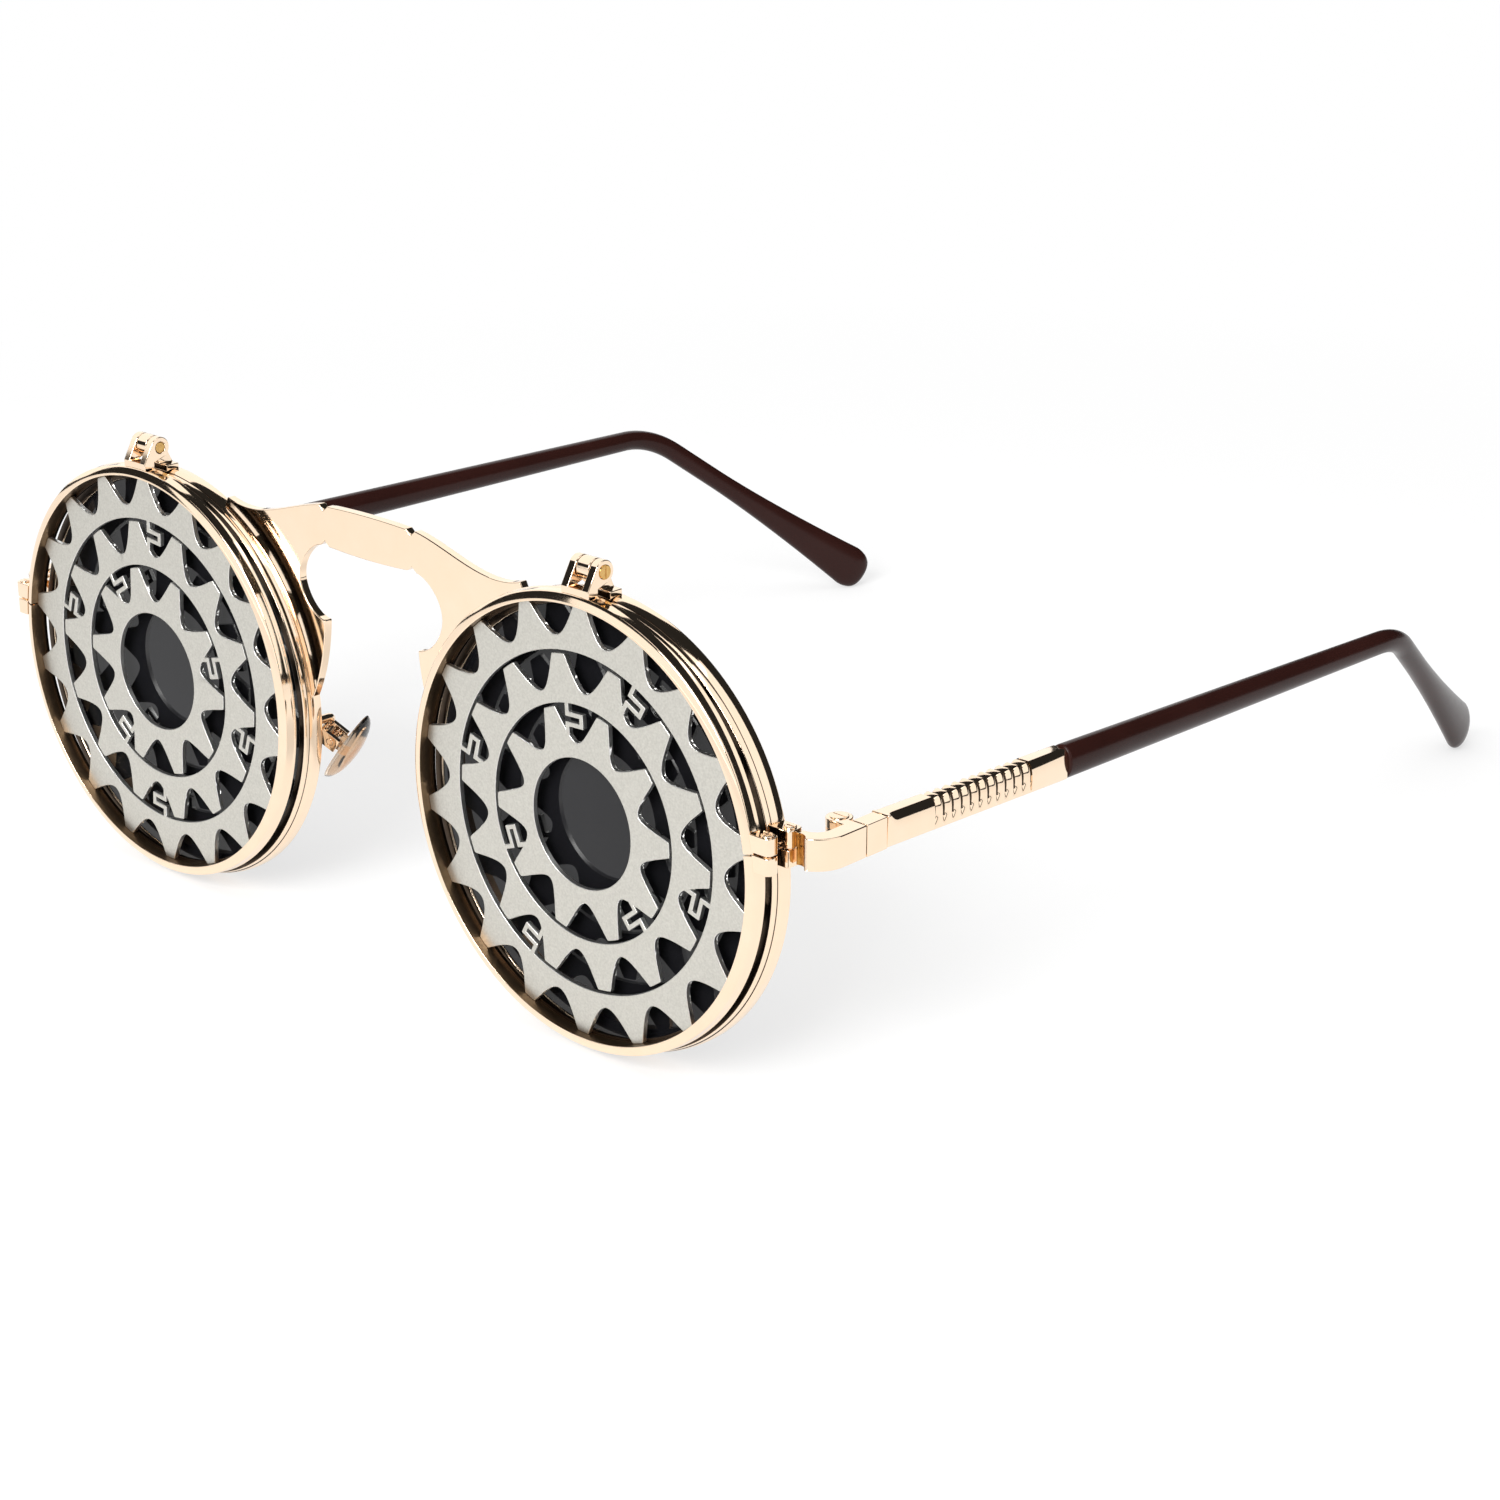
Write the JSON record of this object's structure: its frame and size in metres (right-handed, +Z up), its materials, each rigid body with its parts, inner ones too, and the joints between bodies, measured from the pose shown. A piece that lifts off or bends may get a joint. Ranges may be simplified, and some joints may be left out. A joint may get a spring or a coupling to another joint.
{
  "type": "flip up sunglasses",
  "caption": "Round metal sunglasses with dark lenses, gear-cut metal discs that flip up in front of them, folding temples with plastic sleeves and rocking nose pads.",
  "frame": {"origin": "on the ground under the middle of the box", "axes": "+Z up, +X to the wearer's left, -Y the way the wearer looks"},
  "size_m": [0.1282, 0.1442, 0.0523],
  "materials": {
    "gold": "pale gold plating, mirror polished",
    "plate": "satin silver grey with bright cut edges",
    "lens": "dark grey tint, glossy",
    "sleeve": "dark brown, glossy",
    "pad": "clear silicone"
  },
  "bodies": {
    "frame": {"bridge": "gold", "rear_rim_left": "gold", "lens_left": "lens", "rim_lock_left": "gold", "rim_screw_left": "gold", "endpiece_left": "gold", "temple_hinge_screw_left": "gold", "flip_knuckle_left": "gold", "pad_arm_left": "gold", "pad_screw_left": "gold", "rear_rim_right": "gold", "lens_right": "lens", "rim_lock_right": "gold", "rim_screw_right": "gold", "endpiece_right": "gold", "temple_hinge_screw_right": "gold", "flip_knuckle_right": "gold", "pad_arm_right": "gold", "pad_screw_right": "gold"},
    "flip_left": {"flip_ring_left": "gold", "flip_lock_left": "gold", "flip_ring_screw_left": "gold", "gear_plate_left": "plate", "flip_leaf_left": "gold", "flip_hinge_screw_left": "gold"},
    "temple_left": {"temple_bar_left": "gold", "temple_sleeve_left": "sleeve"},
    "pad_left": {"nose_pad_left": "pad"},
    "flip_right": {"flip_ring_right": "gold", "flip_lock_right": "gold", "flip_ring_screw_right": "gold", "gear_plate_right": "plate", "flip_leaf_right": "gold", "flip_hinge_screw_right": "gold"},
    "temple_right": {"temple_bar_right": "gold", "temple_sleeve_right": "sleeve"},
    "pad_right": {"nose_pad_right": "pad"}
  },
  "joints": [
    {"name": "flip_left_hinge", "type": "hinge", "parent": "frame", "child": "flip_left", "pos_m": [0.0349, -0.06952, 0.0511], "axis": [-1, 0, 0], "range_deg": [0, 90]},
    {"name": "flip_right_hinge", "type": "hinge", "parent": "frame", "child": "flip_right", "pos_m": [-0.0349, -0.06952, 0.0511], "axis": [-1, 0, 0], "range_deg": [0, 90]},
    {"name": "temple_left_hinge", "type": "hinge", "parent": "frame", "child": "temple_left", "pos_m": [0.0606, -0.06227, 0.0286], "axis": [0, 0, 1], "range_deg": [0, 90]},
    {"name": "temple_right_hinge", "type": "hinge", "parent": "frame", "child": "temple_right", "pos_m": [-0.0606, -0.06227, 0.0286], "axis": [0, 0, -1], "range_deg": [0, 80]},
    {"name": "pad_left_rock", "type": "hinge", "parent": "frame", "child": "pad_left", "pos_m": [0.01132, -0.0645, 0.021], "axis": [0.2911, 0.9272, 0.2357], "range_deg": [-8, 8]},
    {"name": "pad_right_rock", "type": "hinge", "parent": "frame", "child": "pad_right", "pos_m": [-0.01132, -0.0645, 0.021], "axis": [0.2911, -0.9272, -0.2357], "range_deg": [-8, 8]}
  ]
}
